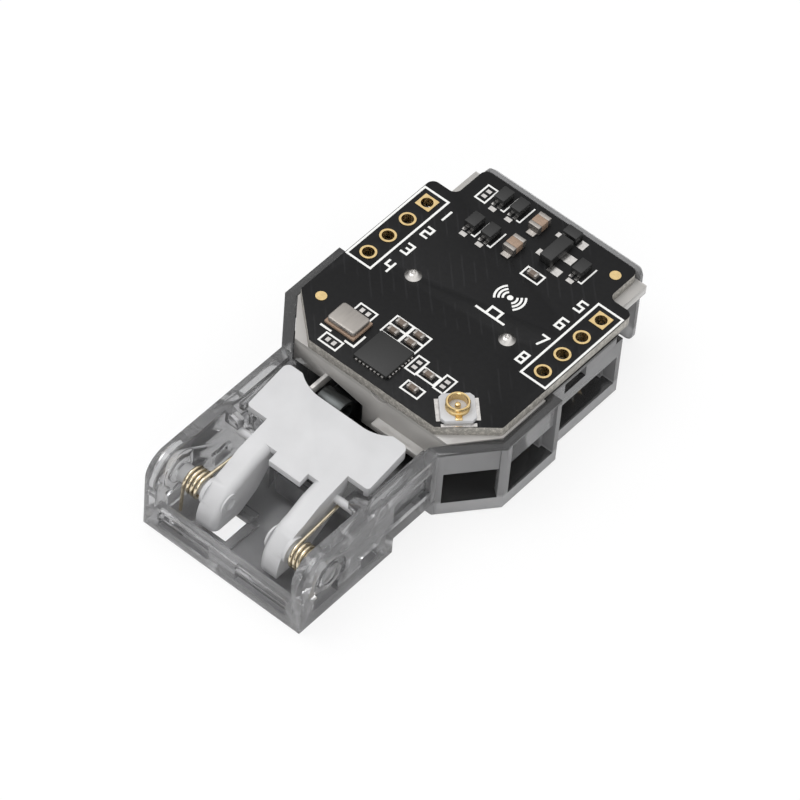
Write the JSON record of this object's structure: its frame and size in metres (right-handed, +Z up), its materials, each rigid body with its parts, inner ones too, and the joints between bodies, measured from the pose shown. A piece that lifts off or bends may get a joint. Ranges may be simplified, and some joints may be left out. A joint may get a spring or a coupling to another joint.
{
  "type": "self-powered wireless switch module",
  "caption": "Energy-harvesting wireless switch module: clear generator housing, sprung white lever at one end, circuit board with pin holes and a coaxial aerial socket on top.",
  "frame": {"origin": "centre of the resting face, midway between the front wall and the back plate", "axes": "+Z up through the board, +Y from the lever end to the board end, X across"},
  "size_m": [0.0244, 0.0436, 0.0102],
  "materials": {
    "clear_plastic": "clear smoky polycarbonate, polished",
    "white_plastic": "white moulded, satin",
    "spring_wire": "drawn spring wire, warm tint",
    "dark_steel": "folded sheet, dull",
    "magnet": "plated block magnet",
    "soft_iron": "stamped soft iron",
    "copper_wire": "enamelled copper winding",
    "tinned_metal": "tinned, satin",
    "board_black": "matt black solder mask",
    "solder": "bright solder",
    "gold_plate": "gold plated",
    "white_print": "white board print",
    "ceramic_brown": "small chips, dull",
    "ceramic_tan": "unglazed ceramic",
    "black_plastic": "moulded packages, matt"
  },
  "bodies": {
    "housing": {"base_housing": "clear_plastic", "upper_housing": "clear_plastic", "spring_right": "spring_wire", "spring_left": "spring_wire", "core": "soft_iron", "coil_bobbin": "black_plastic", "coil_winding": "copper_wire", "coil_pins": "tinned_metal", "circuit_board": "board_black", "solder_joints": "solder", "header_plating_left": "gold_plate", "header_plating_right": "gold_plate", "board_print": "white_print", "solder_pads": "solder", "chip_parts": "ceramic_brown", "small_packages": "black_plastic", "package_legs": "solder", "power_chip": "black_plastic", "power_pads": "solder", "capacitor_bodies": "ceramic_tan", "capacitor_ends": "tinned_metal", "crystal_base": "ceramic_tan", "crystal_can": "tinned_metal", "controller_chip": "black_plastic", "fiducial_pads": "gold_plate", "antenna_socket_base": "white_plastic", "antenna_socket_ring": "gold_plate", "antenna_socket_pin": "gold_plate"},
    "lever": {"lever": "white_plastic"},
    "rocker": {"rocker": "dark_steel", "magnet": "magnet", "upper_pole_plate": "soft_iron", "lower_pole_plate": "soft_iron"}
  },
  "joints": [
    {"name": "lever_press", "type": "hinge", "parent": "housing", "child": "lever", "pos_m": [0, -0.01829, 0.0043], "axis": [-1, 0, 0], "range_deg": [0, 7], "stiffness_Nm_per_rad": 0.06, "springref_deg": -20.05, "deforming": ["spring_right", "spring_left"]},
    {"name": "rocker_tilt", "type": "hinge", "parent": "housing", "child": "rocker", "pos_m": [0, 0.00015, 0.0043], "axis": [1, 0, 0], "range_deg": [0, 8.4]}
  ],
  "couplings": [
    {"joint": "rocker_tilt", "follows": "lever_press", "ratio": 1.2}
  ]
}
